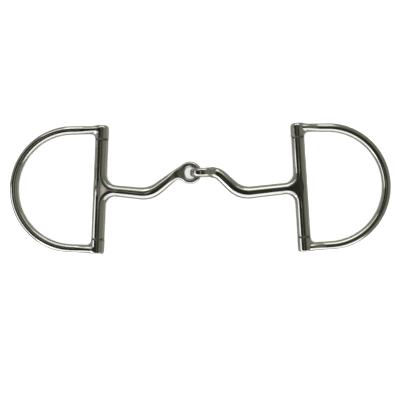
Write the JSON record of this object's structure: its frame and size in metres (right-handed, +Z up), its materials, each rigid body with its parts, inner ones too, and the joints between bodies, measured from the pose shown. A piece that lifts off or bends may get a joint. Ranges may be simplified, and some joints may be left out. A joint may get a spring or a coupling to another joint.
{
  "type": "hinged d-ring snaffle bit",
  "caption": "Single-jointed horse bit with a D-shaped ring hinged on the bar at each end of its angled mouthpiece arms.",
  "frame": {"origin": "on the surface the bit lies on, under the middle of its box, midway between the two bars", "axes": "+X along the mouthpiece from the left ring to the right ring, +Y along the ring bars towards the side the arms rise to, +Z up from the surface"},
  "size_m": [0.2578, 0.087, 0.0157],
  "materials": {
    "ring_steel": "polished stainless steel",
    "mouthpiece_steel": "polished stainless steel",
    "rivet_steel": "ground flush after riveting"
  },
  "bodies": {
    "left_arm": {"left_mouthpiece_arm": "mouthpiece_steel"},
    "left_cheek": {"left_cheek_ring": "ring_steel", "left_hinge_pin": "rivet_steel"},
    "right_arm": {"right_mouthpiece_arm": "mouthpiece_steel"},
    "right_cheek": {"right_cheek_ring": "ring_steel", "right_hinge_pin": "rivet_steel"}
  },
  "joints": [
    {"name": "left_ring_hinge", "type": "hinge", "parent": "left_arm", "child": "left_cheek", "pos_m": [-0.06785, 0, 0.00445], "axis": [0.0523, 0.9986, 0], "range_deg": [-90, 90]},
    {"name": "centre_link", "type": "hinge", "parent": "left_arm", "child": "right_arm", "pos_m": [-0.0009, 0.01035, 0.00795], "axis": [0, 1, 0], "range_deg": [-85, 85]},
    {"name": "right_ring_hinge", "type": "hinge", "parent": "right_arm", "child": "right_cheek", "pos_m": [0.06785, 0, 0.00445], "axis": [-0.0523, 0.9986, 0], "range_deg": [-90, 90]}
  ]
}
